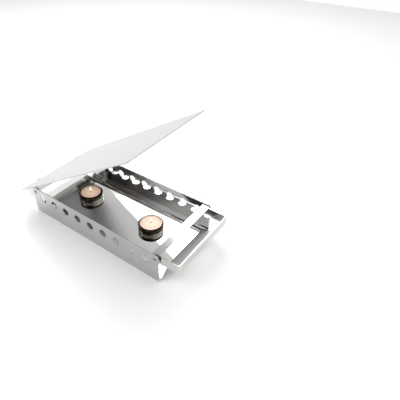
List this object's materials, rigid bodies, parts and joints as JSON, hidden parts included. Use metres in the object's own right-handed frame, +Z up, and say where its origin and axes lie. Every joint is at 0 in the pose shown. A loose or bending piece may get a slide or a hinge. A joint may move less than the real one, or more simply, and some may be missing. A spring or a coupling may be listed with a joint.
{
  "type": "food warmer",
  "caption": "Polished sheet-steel food warmer: low folded tray with round wall holes, bar handles, a hinged satin lid plate standing open, and tea lights in shallow holders.",
  "frame": {"origin": "on the table, under the middle of the whole object's box with the lid standing open", "axes": "+X along the tray away from the lid's hinge, +Y across it, +Z up"},
  "size_m": [0.3694, 0.184, 0.2247],
  "materials": {
    "polished_sheet": "bright polished stainless sheet",
    "satin_bar": "fine satin stainless bar",
    "satin_lid": "satin stainless plate",
    "rivet_steel": "turned stainless",
    "cup_foil": "pressed bright foil",
    "paraffin": "waxy, lit from within",
    "wick_cotton": "charred braid",
    "tin_tab": "tinned steel",
    "bumper_rubber": "matt black"
  },
  "bodies": {
    "base": {"base_tray": "polished_sheet", "frame_bar": "satin_bar", "crossbar": "polished_sheet", "wall_rivet_front": "rivet_steel", "wall_rivet_back": "rivet_steel", "frame_spacer_front": "rivet_steel", "frame_spacer_back": "rivet_steel", "pivot_spacer_front": "rivet_steel", "pivot_spacer_back": "rivet_steel", "pivot_pin_front": "rivet_steel", "pivot_pin_back": "rivet_steel", "pivot_washer_front": "rivet_steel", "pivot_washer_back": "rivet_steel", "candle_holder_left": "polished_sheet", "candle_holder_right": "polished_sheet", "holder_rivet_left": "rivet_steel", "holder_rivet_right": "rivet_steel"},
    "lid": {"lid_plate": "satin_lid", "hinge_strip": "satin_bar", "lid_handle": "satin_bar", "lid_rivet_front": "rivet_steel", "lid_rivet_back": "rivet_steel", "lid_bumper_front": "bumper_rubber", "lid_bumper_back": "bumper_rubber"},
    "tealight_left": {"tealight_cup_left": "cup_foil", "tealight_wax_left": "paraffin", "wick_tab_left": "tin_tab", "wick_left": "wick_cotton"},
    "tealight_right": {"tealight_cup_right": "cup_foil", "tealight_wax_right": "paraffin", "wick_tab_right": "tin_tab", "wick_right": "wick_cotton"}
  },
  "joints": [
    {"name": "lid_hinge", "type": "hinge", "parent": "base", "child": "lid", "pos_m": [-0.1453, 0, 0.0474], "axis": [0, -1, 0], "range_deg": [-31.5, 35.5]},
    {"name": "tealight_left_lift", "type": "slide", "parent": "base", "child": "tealight_left", "axis": [0, 0, 1], "range_m": [0, 0.05]},
    {"name": "tealight_right_lift", "type": "slide", "parent": "base", "child": "tealight_right", "axis": [0, 0, 1], "range_m": [0, 0.05]}
  ]
}
